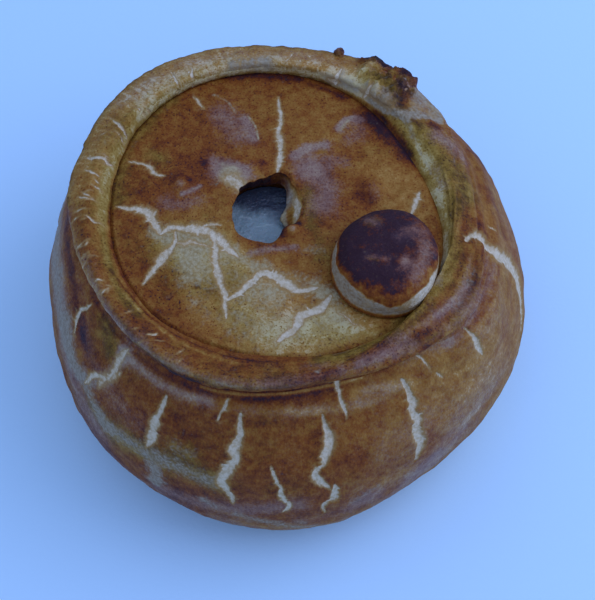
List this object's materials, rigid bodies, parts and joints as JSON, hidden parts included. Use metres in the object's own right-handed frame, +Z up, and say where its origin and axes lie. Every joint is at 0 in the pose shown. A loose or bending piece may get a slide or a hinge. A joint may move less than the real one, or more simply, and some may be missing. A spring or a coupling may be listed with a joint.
{
  "type": "pork pie",
  "caption": "Hand-raised round pork pie, whole, with a rolled rim, a sunken lid with a steam hole showing jelly, and a pastry button.",
  "frame": {"origin": "middle of the pie's footprint box, on the surface it stands on", "axes": "+Z up; -Y is the front, where the side's long splits are; +X is the side the button lies on"},
  "size_m": [0.1184, 0.119, 0.0723],
  "materials": {
    "crust": "baked hot-water crust, satin egg glaze, browned unevenly",
    "lid_crust": "baked hot-water crust, satin egg glaze, golden to red-brown",
    "button_crust": "dark, nearly burnt glazed top with a pale cream side",
    "jelly": "clear grey set stock, wet"
  },
  "bodies": {
    "root": {"case": "crust", "lid": "lid_crust", "button": "button_crust", "jelly": "jelly"}
  },
  "joints": []
}
